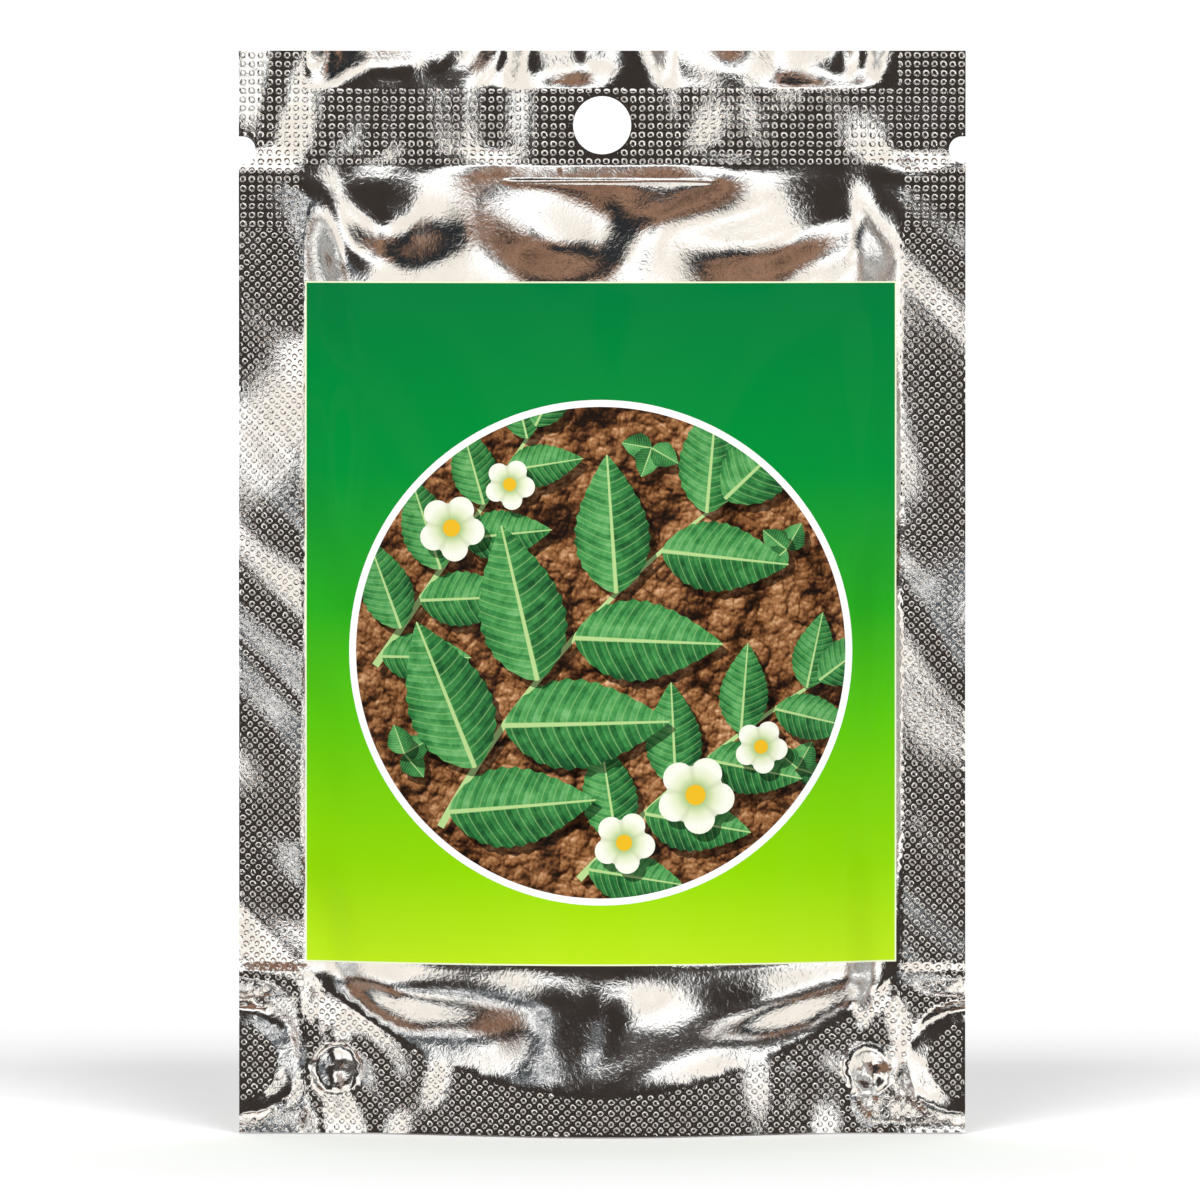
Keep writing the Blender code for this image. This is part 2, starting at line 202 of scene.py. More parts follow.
def buckle(u, v):
    """The slow waves of the whole sealed edge, shared by every film in it."""
    edge = 1 - smooth((BODY_HALF - 3 - np.abs(u)) / 6)
    top = smooth((v - SEAL_LOW + 3) / 6)
    side = 1.75 * soft_noise(0.8 * (u + v), 0.42 * (v - u), 14, 21.3)
    across = 1.0 * soft_noise(u, v * 0.7, 10, 34.8)
    beside_hole = 0.25 + 0.75 * smooth((np.abs(u) - 5) / 7)
    keep_foot = smooth(v / 6)
    waves = np.maximum(edge, top) * keep_foot * (side * edge * (1 - top) + across * beside_hole * top)
    corner = in_corner(u, v)
    waves = waves * (1 - 0.7 * smooth((corner + 2) / 5))
    turned = smooth((FOLD - 1 - v) / 3) * (1 - smooth((corner + 0.3) / 0.9))
    turned = turned * CORNER_TURN * np.maximum(np.abs(u) - BODY_HALF, 0)
    return waves + turned + lip_wave(u, v)


def arch(u, v, name):
    """Creases and soft dents in the free foil, from the seals inwards."""
    seed = 3.1 if name == "front_film" else 8.7
    swirl_u = u + 4.0 * soft_noise(u, v, 18, seed)
    swirl_v = v + 4.0 * soft_noise(u, v, 18, seed + 1)
    dents = 1.9 * soft_noise(swirl_u, swirl_v, 15, seed + 2)
    folds = 0.6 * np.abs(soft_noise(swirl_u, swirl_v, 22, seed + 3))
    ripples = 0.03 * soft_noise(u, v, 4, seed + 4)
    below_seal = smooth((SEAL_LOW - v) / 9)
    share = below_seal * smooth(above_arc(u, v) / 7) * smooth((BODY_HALF - np.abs(u)) / 7)
    if name == "front_film":
        beside_label = np.maximum(v - LABEL_HIGH, LABEL_LOW - v)
        share = share * smooth((beside_label + 2) / 8)
    return share * (dents + folds + ripples)


def lip(u, v):
    """How far the loose edge above the top seal stands off on either side."""
    up = np.clip((v - SEAL_HIGH) / (HEIGHT - SEAL_HIGH), 0, 1)
    return 0.35 * up * smooth((BODY_HALF - np.abs(u)) / 5)


def lip_wave(u, v):
    """The waves that both films of the loose top edge share."""
    up = smooth((v - SEAL_HIGH + 0.5) / 3.5)
    wander = 3 * soft_noise(u, v, 7, 53.1)
    waves = 1.3 * up * soft_noise(u + wander, v * 0.7, 8.0, 51.7)
    lean = LIP_LEAN * np.maximum(v - SEAL_HIGH, 0)
    return (waves + lean) * smooth((BODY_HALF - np.abs(u)) / 4)


def crease(u, v, name):
    """The pressed line just under the top seal, and the pressed lines round the foot."""
    line = 0 * u
    if name == "front_film":
        across = smooth((15 - np.abs(u - 1)) / 2)
        line = line - 0.16 * np.exp(-(((v - CREASE_HEIGHT) / 0.35) ** 2)) * across
    for side in (-1, 1):
        upright = np.exp(-(((u - side * BODY_HALF) / 0.22) ** 2)) * smooth((FOLD - v) / 0.6)
        line = line - 0.07 * upright * (1 - pressed(u, v))
    level = np.exp(-(((v - FOLD_LINE) / 0.22) ** 2)) * smooth((np.abs(u) - BODY_HALF) / 0.6)
    return line - 0.06 * level


def film_out(u, v, name, foot_share=1.0):
    """How far a film lies from the pouch's middle plane, without the embossed dots."""
    share = foot_share + (1 - foot_share) * smooth((v - FOLD) / 20)
    free = np.maximum(share * belly(u, v) + arch(u, v, name), 0)
    spot = in_spot(u, v)
    wrinkle = 0.30 * smooth(spot / 2.0) + smooth(spot / 0.8) * 0.17 * soft_noise(u, v, 2.4, 5.5)
    across_rim = np.clip(in_corner(u, v) / CORNER_RIM, 0, 1)
    rim = np.sin(math.pi * across_rim) * (0.10 + 0.12 * soft_noise(u, v, 3.4, 6.5))
    return seal_plane(u, v) + free + lip(u, v) + crease(u, v, name) + wrinkle + rim


def run(a, b, step):
    """Points from a to b, b left out, at most a step apart."""
    count = max(1, math.ceil(math.dist(a, b) / step))
    return [(a[0] + (b[0] - a[0]) * n / count, a[1] + (b[1] - a[1]) * n / count) for n in range(count)]


def round_run(centre, radius, start, end, count):
    angles = [math.radians(start + (end - start) * n / count) for n in range(count + 1)]
    return [(centre[0] + radius * math.cos(a), centre[1] + radius * math.sin(a)) for a in angles]


def film_outline(step):
    notch = round_run((HALF - NOTCH_STRAIGHT, NOTCH_HEIGHT), NOTCH_RADIUS, 270, 90, 18)
    right = run((HALF, 0), (HALF, NOTCH_HEIGHT - NOTCH_RADIUS), step)
    right += [(HALF, NOTCH_HEIGHT - NOTCH_RADIUS)] + notch + [(HALF, NOTCH_HEIGHT + NOTCH_RADIUS)]
    right += run((HALF, NOTCH_HEIGHT + NOTCH_RADIUS), (HALF, HEIGHT), step)[1:] + [(HALF, HEIGHT)]
    bottom = run((-HALF, 0), (HALF, 0), step)
    top = run((HALF, HEIGHT), (-HALF, HEIGHT), step)[1:]
    left = [(-u, v) for u, v in reversed(right)]
    return bottom[1:] + right + top + left


def arc_line(count):
    half_angle = math.degrees(math.asin(BODY_HALF / ARC_RADIUS))
    return round_run((0, ARC_CENTRE), ARC_RADIUS, 270 - half_angle, 270 + half_angle, count)


def embossed(u, v, size):
    """True where the heat seal leaves its lattice and a dot of this size fits."""
    if HALF - abs(u) < size or v < size or v > HEIGHT - size:
        return False
    if math.dist((u, v), HOLE) < HOLE_RADIUS + size:
        return False
    if HALF - abs(u) < 2.4 + size and abs(v - NOTCH_HEIGHT) < NOTCH_RADIUS + size:
        return False
    corner = CORNER_RADIUS - math.dist((abs(u), v), (HALF, CORNER_HEIGHT))
    if -size < corner < CORNER_RIM + size:
        return False
    if math.dist((abs(u), v), (SPOT_ACROSS, SPOT_HEIGHT)) < SPOT_RADIUS + size:
        return False
    if abs(u) > BODY_HALF + size:
        return abs(v - FOLD_LINE) > size
    if abs(u) > BODY_HALF - size and v < SEAL_LOW:
        return False
    if v > SEAL_LOW + 0.3:
        return v < SEAL_HIGH - 0.3 or abs(u) > BODY_HALF - size
    return v < FOLD + 2 and ARC_RADIUS - math.dist((u, v), (0, ARC_CENTRE)) < -size


def dots():
    """(u, v) of each embossed dot: upright rows at the top of the pouch, slanting ones below."""
    spots = []
    for row in range(int(HEIGHT / PITCH) + 1):
        for column in range(-42, 43):
            u, v = (column - 0.5) * PITCH, HEIGHT - (row + 0.5) * PITCH
            if v > TURN_HEIGHT and embossed(u, v, DOT_RADIUS):
                spots.append((u, v))
    c, s = math.cos(math.radians(SLANT)), math.sin(math.radians(SLANT))
    for row in range(-110, 111):
        for column in range(-110, 111):
            u, v = SLANT_PITCH * (c * column - s * row), SLANT_START + SLANT_PITCH * (s * column + c * row)
            if abs(u) < HALF and 0 < v < TURN_HEIGHT - 0.35 and embossed(u, v, DOT_RADIUS):
                spots.append((u, v))
    return spots


def lattice(low, high, spacing):
    """Points in shifted rows across the whole film."""
    rows = math.ceil((high - low) / (spacing * 0.87))
    points = []
    for row in range(1, rows):
        count = math.ceil(2 * HALF / spacing)
        shift = 0.25 if row % 2 else -0.25
        v = low + (high - low) * row / rows
        points += [(HALF * (2 * (n + shift) / count - 1), v) for n in range(1, count)]
    return points


def ring(centre, radius, count):
    return round_run(centre, radius, 0, 360, count)


def flat_sheet(outline, lines, fixed, inner, clear):
    """(points, triangles, sources) of a flat sheet, without inner points nearer than clear to another."""
    points, edges = list(outline), [(n, (n + 1) % len(outline)) for n in range(len(outline))]
    for line in lines:
        first = len(points)
        points += line
        edges += [(n, n + 1) for n in range(first, len(points) - 1)]
    first_fixed = len(points)
    points += fixed
    near = kdtree.KDTree(len(points))
    for n, p in enumerate(points):
        near.insert((*p, 0), n)
    near.balance()
    points += [p for p in inner if near.find((*p, 0))[2] > clear]
    flat, _, faces, source, *_ = delaunay_2d_cdt([Vector(p) for p in points], edges, [], 1, 1e-6)
    flat = np.array([(p.x, p.y) for p in flat])
    faces = np.array([f for f in faces if len(f) == 3])
    end = first_fixed + len(fixed)
    source = [[n - first_fixed for n in group if first_fixed <= n < end] for group in source]
    return flat, faces, source


def without_round(flat, faces, centre, radius):
    """The faces outside a round hole, and outside the same hole on the other side of the middle."""
    middle = flat[faces].mean(axis=1)
    return faces[np.hypot(np.abs(middle[:, 0]) - centre[0], middle[:, 1] - centre[1]) > radius]


def closed(corners, step):
    """A closed line through the corners."""
    line = []
    for a, b in zip(corners, corners[1:] + corners[:1]):
        line += run(a, b, step)
    return [*line, line[0]]


def film_lines():
    """The lines that a film's triangles follow: seals, pressed lines, half rounds and spots."""
    lines = [arc_line(120), ring(HOLE, HOLE_RADIUS, 48)]
    for v in (SEAL_LOW, SEAL_HIGH):
        lines.append([*run((-BODY_HALF, v), (BODY_HALF, v), 1.2), (BODY_HALF, v)])
    for offset in (-0.6, -0.3, 0, 0.3, 0.6):
        v = CREASE_HEIGHT + offset
        lines.append([*run((-14, v), (16, v), 0.8), (16, v)])
    for side in (-1, 1):
        foot, head = (side * BODY_HALF, 0), (side * BODY_HALF, HEIGHT)
        lines.append([*run(foot, head, 0.8), head])
        middle = 0 if side < 0 else 180
        for inset in (0, 0.4, 1.3, CORNER_RIM):
            radius = CORNER_RADIUS - inset
            lines.append(round_run((side * HALF, CORNER_HEIGHT), radius, middle - 90, middle + 90, 36))
        for inset in (0, 0.4, 1.1, 1.8, 2.6):
            lines.append(ring((side * SPOT_ACROSS, SPOT_HEIGHT), SPOT_RADIUS - inset, 28))
    return lines


def film_pattern():
    """(points, triangles, dot heights) of a film laid flat."""
    points, heights = [], []
    for n, (u, v) in enumerate(dots()):
        turn = 25 * (n % 3)
        points += [(u, v), *round_run((u, v), DOT_RADIUS, turn, turn + 300, 5)]
        heights += [DOT_HEIGHT] + [0.0] * 6
    flat, faces, source = flat_sheet(film_outline(0.8), film_lines(), points, lattice(0, HEIGHT, 1.25), 0.62)
    up = np.array([heights[group[0]] if group else 0.0 for group in source])
    return flat, without_round(flat, faces, HOLE, HOLE_RADIUS), up


def new_object(name, vertices, faces, materials, uv):
    mesh = bpy.data.meshes.new(name)
    mesh.from_pydata(vertices.tolist(), [], faces.tolist())
    for material in materials:
        mesh.materials.append(material)
    obj = bpy.data.objects.new(name, mesh)
    bpy.context.scene.collection.objects.link(obj)
    layer = mesh.uv_layers.new(name="flat")
    layer.data.foreach_set("uv", uv[faces].astype(np.float32).ravel())
    mesh.shade_smooth()
    return obj


def add_rim(obj, inward):
    """Turns the sheet's free edges inwards by the film's thickness."""
    bm = bmesh.new()
    bm.from_mesh(obj.data)
    edges = [e for e in bm.edges if e.is_boundary]
    made = bmesh.ops.extrude_edge_only(bm, edges=edges)["geom"]
    for vert in (g for g in made if isinstance(g, bmesh.types.BMVert)):
        vert.co.y += inward
    bm.to_mesh(obj.data)
    bm.free()
    obj.data.shade_smooth()
    obj.data.set_sharp_from_angle(angle=math.radians(60))


def point_normals(vertices, faces):
    a, b, c = (vertices[faces[:, n]] for n in range(3))
    across = np.cross(b - a, c - a)
    total = np.zeros_like(vertices)
    for n in range(3):
        np.add.at(total, faces[:, n], across)
    return total / np.linalg.norm(total, axis=1, keepdims=True)


def mirror_normals(u, v, node, side, faces):
    """Which way the foil mirrors. Round the foot it is calmer than the foil's own shape."""
    free = side * film_out(u, v, node, FOOT_CALM) + buckle(u, v)
    aside = smooth((np.abs(u) - 18) / 8) * smooth((BODY_HALF + 1 - np.abs(u)) / 4)
    waves = 1.1 * aside * soft_noise(u, v, 9, 77.3)
    sealed = side * film_out(u, v, node, 0.3 * FOOT_CALM) + buckle(u, v) + waves
    normals = point_normals(np.column_stack((u, free, v)), faces)
    below = (above_arc(u, v) < 0.05) & (v < FOLD)
    normals[below] = point_normals(np.column_stack((u, sealed, v)), faces)[below]
    return normals


def add_film(name, node, side, pattern, foil):
    flat, faces, up = pattern
    u, v = flat[:, 0], flat[:, 1]
    plain = side * (film_out(u, v, node) + FILM / 2) + buckle(u, v)
    if side > 0:
        faces = faces[:, ::-1]
    normals = mirror_normals(u, v, node, side, faces)
    vertices = np.column_stack((u, plain + side * up, v)) * MM
    obj = new_object(name, vertices, faces, [foil], flat / UV_SPAN)
    add_rim(obj, -side * FILM * MM)
    mesh = obj.data
    rim = len(mesh.vertices) - len(normals)
    mesh.normals_split_custom_set_from_vertices(np.vstack((normals, np.zeros((rim, 3)))).tolist())
    sealed = [float(embossed(a, b, 0.12)) for a, b in flat] + [0.0] * rim
    mesh.attributes.new("sealed", "FLOAT", "POINT").data.foreach_set("value", sealed)
    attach(obj, "root")
    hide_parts(node)


def gusset_place(u, v):
    """The front half of the fold at (u, v) of its flat shape, as depth and height."""
    top = arc_height(u)
    flat_out = np.maximum(belly(u, np.minimum(v, top)) + TWO_FILMS, TWO_FILMS)
    length = np.maximum(FOLD - top, 0.2)
    rise = np.sqrt(np.maximum(length**2 - flat_out**2, 0.04))
    share = np.clip((v - top) / length, 0, 1)
    dent = 0.35 * soft_noise(u, v, 9, 2.2) * np.sin(math.pi * share)
    out = np.where(v <= top, flat_out, flat_out * (1 - share))
    high = np.where(v <= top, v, top + rise * share + dent * smooth(length / 6))
    return out, high


def gusset_outline(low):
    cut = CORNER_RADIUS + FOLD_GAP
    right = [(HALF, low), *round_run((HALF, CORNER_HEIGHT), cut, 270, 90, 24)]
    right += run((HALF, CORNER_HEIGHT + cut), (HALF, FOLD), 1.0)[1:] + [(HALF, FOLD)]
    bottom = run((-HALF, low), (HALF, low), 1.2)[1:]
    top = run((HALF, FOLD), (-HALF, FOLD), 1.2)[1:]
    return bottom + right + top + [(-u, v) for u, v in reversed(right)]


def add_gusset(foil):
    low, punch = 0.2, SPOT_RADIUS + FOLD_GAP
    holes = [ring((side * SPOT_ACROSS, SPOT_HEIGHT), punch, 24) for side in (-1, 1)]
    lines = [[(u, v - 0.05) for u, v in arc_line(80)], *holes]
    flat, faces, _ = flat_sheet(gusset_outline(low), lines, [], lattice(low, FOLD, 1.2), 0.7)
    faces = without_round(flat, faces, (SPOT_ACROSS, SPOT_HEIGHT), punch)
    out, high = gusset_place(flat[:, 0], flat[:, 1])
    wave = buckle(flat[:, 0], high)
    front = np.column_stack((flat[:, 0], wave - out, high)) * MM
    back = np.column_stack((flat[:, 0], wave + out, high)) * MM
    faces = np.vstack((faces, faces[:, ::-1] + len(flat)))
    uv = np.vstack((flat, flat)) / UV_SPAN
    obj = new_object("foil_gusset", np.vstack((front, back)), faces, [foil], uv)
    bm = bmesh.new()
    bm.from_mesh(obj.data)
    bmesh.ops.remove_doubles(bm, verts=bm.verts[:], dist=0.02 * MM)
    bmesh.ops.delete(bm, geom=[vert for vert in bm.verts if not vert.link_faces], context="VERTS")
    bmesh.ops.recalc_face_normals(bm, faces=bm.faces[:])
    bm.to_mesh(obj.data)
    bm.free()
    obj.data.shade_smooth()
    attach(obj, "root")
    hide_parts("gusset_film")


class Nodes:
    """A few short ways to build a material or the world."""

    def __init__(self, owner):
        self.owner = owner
        owner.use_nodes = True
        self.tree = owner.node_tree
        self.shader = self.tree.nodes.get("Principled BSDF")

    def add(self, kind, inputs=None, **settings):
        node = self.tree.nodes.new("ShaderNode" + kind)
        for key, value in settings.items():
            setattr(node, key, value)
        for key, value in (inputs or {}).items():
            if isinstance(value, bpy.types.NodeSocket):
                self.tree.links.new(value, node.inputs[key])
            else:
                node.inputs[key].default_value = value
        return node

    def math(self, operation, a, b=0.0):
        node = self.add("Math", operation=operation)
        for n, value in enumerate((a, b)):
            if isinstance(value, bpy.types.NodeSocket):
                self.tree.links.new(value, node.inputs[n])
            else:
                node.inputs[n].default_value = value
        return node.outputs[0]

    def mix(self, factor, a, b, blend="MIX"):
        node = self.add("Mix", data_type="RGBA", blend_type=blend)
        for n, value in ((0, factor), (6, a), (7, b)):
            if isinstance(value, bpy.types.NodeSocket):
                self.tree.links.new(value, node.inputs[n])
            elif n == 0:
                node.inputs[n].default_value = value
            else:
                node.inputs[n].default_value = (*value, 1)
        return node.outputs[2]

    def ramp(self, factor, stops):
        node = self.add("ValToRGB")
        while len(node.color_ramp.elements) < len(stops):
            node.color_ramp.elements.new(0.5)
        for element, (place, colour) in zip(node.color_ramp.elements, stops):
            element.position = place
            element.color = (*colour, 1)
        self.tree.links.new(factor, node.inputs[0])
        return node.outputs[0]

    def step(self, value, low, high, at_low=0.0, at_high=1.0):
        """A smooth step from one value to another."""
        limits = {"Value": value, "From Min": low, "From Max": high, "To Min": at_low, "To Max": at_high}
        return self.add("MapRange", limits, interpolation_type="SMOOTHSTEP").outputs[0]

    def total(self, *parts):
        value = parts[0]
        for part in parts[1:]:
            value = self.math("ADD", value, part)
        return value

    def to(self, socket, value):
        if isinstance(value, bpy.types.NodeSocket):
            self.tree.links.new(value, self.shader.inputs[socket])
        else:
            self.shader.inputs[socket].default_value = value


def new_material(name):
    return Nodes(bpy.data.materials.new(name))


def cell(m, p, q):
    """One round swelling in each cell of a lattice, 1 in its middle and 0 on its edges."""
    waves = []
    for place in (p, q):
        turn = m.math("COSINE", m.math("MULTIPLY", place, 2 * math.pi))
        waves.append(m.math("ADD", m.math("MULTIPLY", turn, 0.5), 0.5))
    return m.math("MULTIPLY", *waves)


def embossing(m, place):
    """The lattice of the heat seal, upright at the top of the pouch and slanting below."""
    split = m.add("SeparateXYZ", {"Vector": m.add("UVMap", uv_map="flat").outputs[0]})
    stray = m.add("TexNoise", {"Vector": place, "Scale": 900.0, "Detail": 0.0}).outputs[0]
    stray = m.math("MULTIPLY", m.math("SUBTRACT", stray, 0.5), 0.30)
    u = m.math("ADD", m.math("MULTIPLY", split.outputs[0], UV_SPAN), stray)
    v = m.math("SUBTRACT", m.math("MULTIPLY", split.outputs[1], UV_SPAN), stray)
    column = m.math("ADD", m.math("DIVIDE", u, PITCH), 0.5)
    row = m.math("ADD", m.math("DIVIDE", m.math("SUBTRACT", v, HEIGHT), PITCH), 0.5)
    upright = cell(m, column, row)
    c, s = math.cos(math.radians(SLANT)) / SLANT_PITCH, math.sin(math.radians(SLANT)) / SLANT_PITCH
    high = m.math("SUBTRACT", v, SLANT_START)
    column = m.math("ADD", m.math("MULTIPLY", u, c), m.math("MULTIPLY", high, s))
    row = m.math("SUBTRACT", m.math("MULTIPLY", high, c), m.math("MULTIPLY", u, s))
    slanting = cell(m, column, row)
    above = m.math("GREATER_THAN", v, TURN_HEIGHT)
    swelling = m.add("Mix", {0: above, 2: slanting, 3: upright}).outputs[0]
    pressed_cell = m.step(swelling, *DOT_FLANK)
    firm = m.add("TexNoise", {"Vector": place, "Scale": 230.0, "Detail": 1.0}).outputs[0]
    firm = m.math("ADD", m.math("MULTIPLY", firm, 0.9), 0.5)
    sealed = m.add("Attribute", attribute_name="sealed").outputs["Fac"]
    depth = m.math("MULTIPLY", sealed, DOT_DEPTH * MM)
    return m.math("MULTIPLY", m.math("MULTIPLY", pressed_cell, firm), depth)


def foil_material():
    """Bright foil laminate: a mirror with fine curly scuffs, and the heat seal's embossing."""
    m = new_material("foil_film")
    place = m.add("TexCoord").outputs["Object"]
    curls = m.add("TexNoise", {"Vector": place, "Scale": 1100.0, "Detail": 3.0, "Distortion": 1.6})
    blotch = m.add("TexNoise", {"Vector": place, "Scale": 260.0, "Detail": 4.0})
    tone = m.ramp(blotch.outputs[0], [(0.3, (0.86, 0.855, 0.84)), (0.7, (0.95, 0.945, 0.93))])
    rough = m.math("ADD", m.math("MULTIPLY", blotch.outputs[0], 0.08), 0.04)
    scuffed = m.add("Bump", {"Height": curls.outputs[0], "Strength": 0.09, "Distance": 0.0002})
    pressed_in = m.add("Bump", {"Height": embossing(m, place), "Distance": 1.0, "Normal": scuffed.outputs[0]})
    m.to("Base Color", tone)
    m.to("Metallic", 1.0)
    m.to("Roughness", rough)
    m.to("Normal", pressed_in.outputs[0])
    return m.owner


def printed(m, colour):
    """Gives a material the label's glossy printed paper."""
    place = m.add("TexCoord").outputs["Object"]
    tooth = m.add("TexNoise", {"Vector": place, "Scale": 700.0, "Detail": 2.0})
    bump = m.add("Bump", {"Height": tooth.outputs[0], "Strength": 0.06, "Distance": 0.0001})
    m.to("Base Color", m.mix(1.0, colour, (INK, INK, INK), "MULTIPLY"))
    m.to("Normal", bump.outputs[0])
    m.to("Roughness", 0.5)
    m.to("Specular IOR Level", 0.05)
    m.to("Coat Weight", 0.08)
    m.to("Coat Roughness", 0.07)
    return m.owner


def ground_material():
    """Green ink that runs from deep green at the top to yellow green at the bottom."""
    m = new_material("label_green")
    height = m.add("SeparateXYZ", {"Vector": m.add("TexCoord").outputs["Object"]}).outputs[2]
    share = m.math("DIVIDE", m.math("SUBTRACT", height, LABEL_LOW * MM), (LABEL_HIGH - LABEL_LOW) * MM)
    stops = [
        (0.00, (0.515, 0.800, 0.012)),
        (0.14, (0.290, 0.690, 0.000)),
        (0.36, (0.105, 0.560, 0.003)),
        (0.52, (0.020, 0.390, 0.012)),
        (0.72, (0.000, 0.275, 0.038)),
        (1.00, (0.000, 0.195, 0.044)),
    ]
    return printed(m, m.ramp(share, stops))


def clods(m, place, scale):
    """Round lumps: 1 in the middle of each and 0 in the gaps."""
    cells = m.add("TexVoronoi", {"Vector": place, "Scale": scale, "Randomness": 1.0}).outputs[0]
    far = m.math("MINIMUM", m.math("MULTIPLY", cells, 1.25), 1.0)
    return m.math("SUBTRACT", 1.0, m.math("POWER", far, 2.2))


def soil_height(m, place):
    """Clods, lumps and crumbs, as a height from about 0 to 1."""
    bend = m.add("TexNoise", {"Vector": place, "Scale": 420.0, "Detail": 4.0}).outputs["Color"]
    bend = m.add("VectorMath", {0: bend, 1: (0.5, 0.5, 0.5)}, operation="SUBTRACT").outputs[0]
    bend = m.add("VectorMath", {0: bend, "Scale": 0.0016}, operation="SCALE").outputs[0]
    bent = m.add("VectorMath", {0: place, 1: bend}, operation="ADD").outputs[0]
    heaps = m.add("TexNoise", {"Vector": place, "Scale": 150.0, "Detail": 6.0, "Roughness": 0.6}).outputs[0]
    parts = [m.math("MULTIPLY", clods(m, bent, scale), share) for scale, share in SOIL_CLODS]
    return m.total(m.math("MULTIPLY", heaps, 0.5), *parts)


def soil_material(name, light):
    """A picture of crumbly brown soil. light is 1 in the open and less in a leaf's shadow."""
    m = new_material(name)
    place = m.add("TexCoord").outputs["Object"]
    towards_light = m.add("VectorMath", {0: place, 1: (-0.00018, 0.0, 0.00034)}, operation="ADD").outputs[0]
    height = soil_height(m, place)
    lit = m.math("MULTIPLY", m.math("SUBTRACT", height, soil_height(m, towards_light)), 1.15)
    hollow = m.math("MULTIPLY", m.math("SUBTRACT", height, 0.66), 0.95)
    grit = m.add("TexNoise", {"Vector": place, "Scale": 2600.0, "Detail": 2.0}).outputs[0]
    tone = m.total(lit, hollow, m.math("MULTIPLY", grit, 0.22), 0.39)
    stops = [
        (0.12, (0.010, 0.004, 0.002)),
        (0.33, (0.060, 0.021, 0.007)),
        (0.52, (0.200, 0.078, 0.026)),
        (0.70, (0.390, 0.180, 0.072)),
        (0.95, (0.780, 0.480, 0.270)),
    ]
    colour = m.ramp(tone, [(at, tuple(light * c for c in rgb)) for at, rgb in stops])
    return printed(m, colour)


def leaf_material(name, light):
    """Printed leaves, folded at a pale midrib. The uv layer runs along and across each leaf."""
    m = new_material(name)
    split = m.add("SeparateXYZ", {"Vector": m.add("UVMap", uv_map="leaf").outputs[0]}).outputs
    along, across = split[0], split[1]
    off = m.math("ABSOLUTE", across)
    place = m.add("TexCoord").outputs["Object"]
    mottle = m.add("TexNoise", {"Vector": place, "Scale": 520.0, "Detail": 6.0}).outputs[0]
    fine = m.add("TexVoronoi", {"Vector": place, "Scale": 2100.0}).outputs[0]
    bowed = m.math("MULTIPLY", m.math("POWER", off, 1.4), 1.7)
    vein_place = m.math("FRACT", m.math("SUBTRACT", m.math("MULTIPLY", along, 12.0), bowed))
    from_vein = m.math("ABSOLUTE", m.math("SUBTRACT", vein_place, 0.5))
    folded = m.step(across, -0.10, 0.10, -0.12, 0.10)
    puffed = m.math("MULTIPLY", m.math("SUBTRACT", 0.5, vein_place), 0.20)
    rounded = m.math("MULTIPLY", m.math("POWER", off, 2.0), -0.22)
    spotted = m.total(m.math("MULTIPLY", mottle, 0.75), m.math("MULTIPLY", fine, -0.10))
    tone = m.total(folded, puffed, rounded, spotted, 0.20)
    stops = [
        (0.18, (0.010, 0.075, 0.022)),
        (0.42, (0.032, 0.200, 0.048)),
        (0.62, (0.085, 0.345, 0.095)),
        (0.85, (0.210, 0.500, 0.190)),
        (1.00, (0.360, 0.640, 0.300)),
    ]
    body = m.ramp(tone, [(at, tuple(light * c for c in rgb)) for at, rgb in stops])
    vein = m.step(from_vein, 0.0, 0.09, 0.55, 0.0)
    veined = m.mix(vein, body, tuple(light * c for c in (0.300, 0.560, 0.200)))
    rib_half = m.math("SUBTRACT", 0.075, m.math("MULTIPLY", along, 0.045))
    rib = m.step(m.math("DIVIDE", off, rib_half), 0.5, 1.0, 1.0, 0.0)
    return printed(m, m.mix(rib, veined, tuple(light * c for c in (0.470, 0.680, 0.270))))


def petal_material():
    """Cream petals with faint lines that run in to a greener middle."""
    m = new_material("label_petal")
    uv = m.add("UVMap", uv_map="leaf").outputs[0]
    far = m.add("VectorMath", {0: uv}, operation="LENGTH").outputs["Value"]
    split = m.add("SeparateXYZ", {"Vector": uv}).outputs
    round_about = m.math("MULTIPLY", m.math("ARCTAN2", split[1], split[0]), 2.5)
    between = m.math("ABSOLUTE", m.math("COSINE", m.math("ADD", round_about, 0.4)))
    between = m.step(between, 0.0, 0.55, 0.34, 0.0)
    lines = m.math("ABSOLUTE", m.math("SINE", m.math("MULTIPLY", round_about, 9.0)))
    lines = m.step(lines, 0.0, 0.5, 0.10, 0.0)
    stops = [
        (0.25, (0.40, 0.56, 0.20)),
        (0.50, (0.76, 0.82, 0.56)),
        (0.80, (0.95, 0.95, 0.86)),
        (0.95, (0.90, 0.92, 0.78)),
    ]
    pale = m.ramp(far, stops)
    return printed(m, m.mix(m.math("ADD", between, lines), pale, (0.42, 0.50, 0.26)))


def plain_print(name, colour):
    return printed(new_material(name), colour)


def leaf_shape(root, angle, length, half, waves=11):
    """(outline, frame) of a pointed leaf. The frame turns (u, v) into (along, across)."""
    c, s = math.cos(math.radians(angle)), math.sin(math.radians(angle))
    shares = [n / 44 for n in range(45)]
    widths = []
    for t in shares:
        edge = 1 + 0.035 * math.sin(2 * math.pi * waves * t)
        widths.append(half * edge * max(math.sin(math.pi * t**0.75), 0) ** 0.9)
    rights = [(t * length, -w) for t, w in zip(shares, widths)]
    lefts = [(t * length, w) for t, w in zip(shares[-2:0:-1], widths[-2:0:-1])]
    outline = [(root[0] + c * a - s * b, root[1] + s * a + c * b) for a, b in rights + lefts]
    return outline, (root, (c / length, s / length), (-s / half, c / half))


